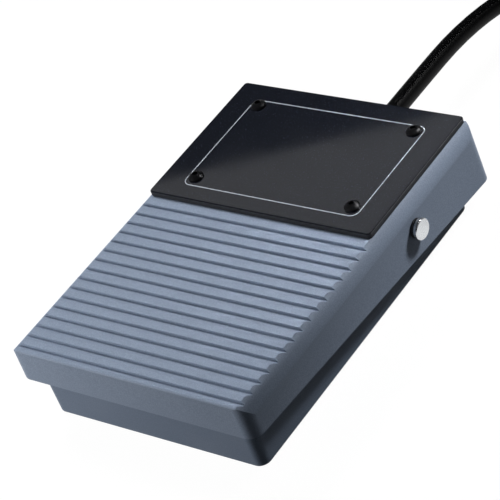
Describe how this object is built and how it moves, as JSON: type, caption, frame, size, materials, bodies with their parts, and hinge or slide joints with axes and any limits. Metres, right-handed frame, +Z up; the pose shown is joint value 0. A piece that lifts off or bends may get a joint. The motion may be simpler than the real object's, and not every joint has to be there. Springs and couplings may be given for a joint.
{
  "type": "foot pedal switch",
  "caption": "Foot pedal switch: a ribbed metal hood hinged on a base tray presses a small switch inside; a lead with a flat plug leaves at the rear.",
  "frame": {"origin": "on the floor, under the middle of the pedal hood", "axes": "+Z up, -Y towards the front that the toes press, +Y towards the hinge and the lead's exit, +X to the right"},
  "size_m": [0.0886, 0.2576, 0.0233],
  "materials": {
    "pedal_paint": "satin metallic grey-blue paint",
    "tray_paint": "satin metallic grey-blue paint, darker",
    "plate": "gloss black",
    "black_screw": "black oxide",
    "nickel": "nickel plate",
    "black_nylon": "matt",
    "brass": "sintered",
    "steel": "plain",
    "rubber": "matt",
    "board": "solder mask",
    "moulding": "matt",
    "white_nylon": "matt",
    "plunger_red": "matt",
    "cord_jacket": "matt soft plastic",
    "gold": "gold plate"
  },
  "bodies": {
    "base": {"base_tray": "tray_paint", "board_header": "white_nylon", "board_screws": "steel", "circuit_board": "board", "clamp_screws": "steel", "controller_chip": "moulding", "crystal_can": "nickel", "foot_front_left": "rubber", "foot_front_right": "rubber", "foot_rear_left": "rubber", "foot_rear_right": "rubber", "header_plug": "white_nylon", "hinge_bush_left": "brass", "hinge_bush_right": "brass", "lead_clamp": "moulding", "lead_coil": "cord_jacket", "lead_grommet": "rubber", "lead_inner_end": "cord_jacket", "lead_run": "cord_jacket", "lead_tail": "cord_jacket", "lead_wires": "cord_jacket", "lever_axle": "nickel", "plug_contacts": "gold", "plug_grip": "cord_jacket", "plug_relief": "cord_jacket", "plug_shell": "nickel", "plug_tongue": "white_nylon", "press_bumper_left": "rubber", "press_bumper_right": "rubber", "rest_bumper_left": "rubber", "rest_bumper_right": "rubber", "return_spring": "steel", "switch_body": "moulding", "switch_terminals": "nickel"},
    "pedal": {"pedal_cover": "pedal_paint", "nameplate": "plate", "nameplate_screw_front_left": "black_screw", "nameplate_screw_front_right": "black_screw", "nameplate_screw_rear_left": "black_screw", "nameplate_screw_rear_right": "black_screw", "hinge_pin": "nickel", "pin_clip": "steel", "pin_washer_left": "black_nylon", "pin_washer_right": "black_nylon", "actuator_screw": "steel"},
    "lever": {"switch_lever": "nickel"},
    "plunger": {"switch_plunger": "plunger_red"}
  },
  "joints": [
    {"name": "pedal_press", "type": "hinge", "parent": "base", "child": "pedal", "pos_m": [0, 0.01785, 0.0141], "axis": [1, 0, 0], "range_deg": [0, 3.5], "stiffness_Nm_per_rad": 1.5, "springref_deg": -5.73, "deforming": ["return_spring"]},
    {"name": "lever_press", "type": "hinge", "parent": "base", "child": "lever", "pos_m": [0, -0.002, 0.0145], "axis": [1, 0, 0], "range_deg": [0, 9], "stiffness_Nm_per_rad": 0.004, "springref_deg": -5.73},
    {"name": "plunger_press", "type": "slide", "parent": "base", "child": "plunger", "axis": [0, 0, -1], "range_m": [0, 0.00065], "stiffness_N_per_m": 5, "springref_m": -0.001}
  ],
  "couplings": [
    {"joint": "lever_press", "follows": "pedal_press", "ratio": 2.55},
    {"joint": "plunger_press", "follows": "pedal_press", "m_per_rad": 0.0103}
  ]
}
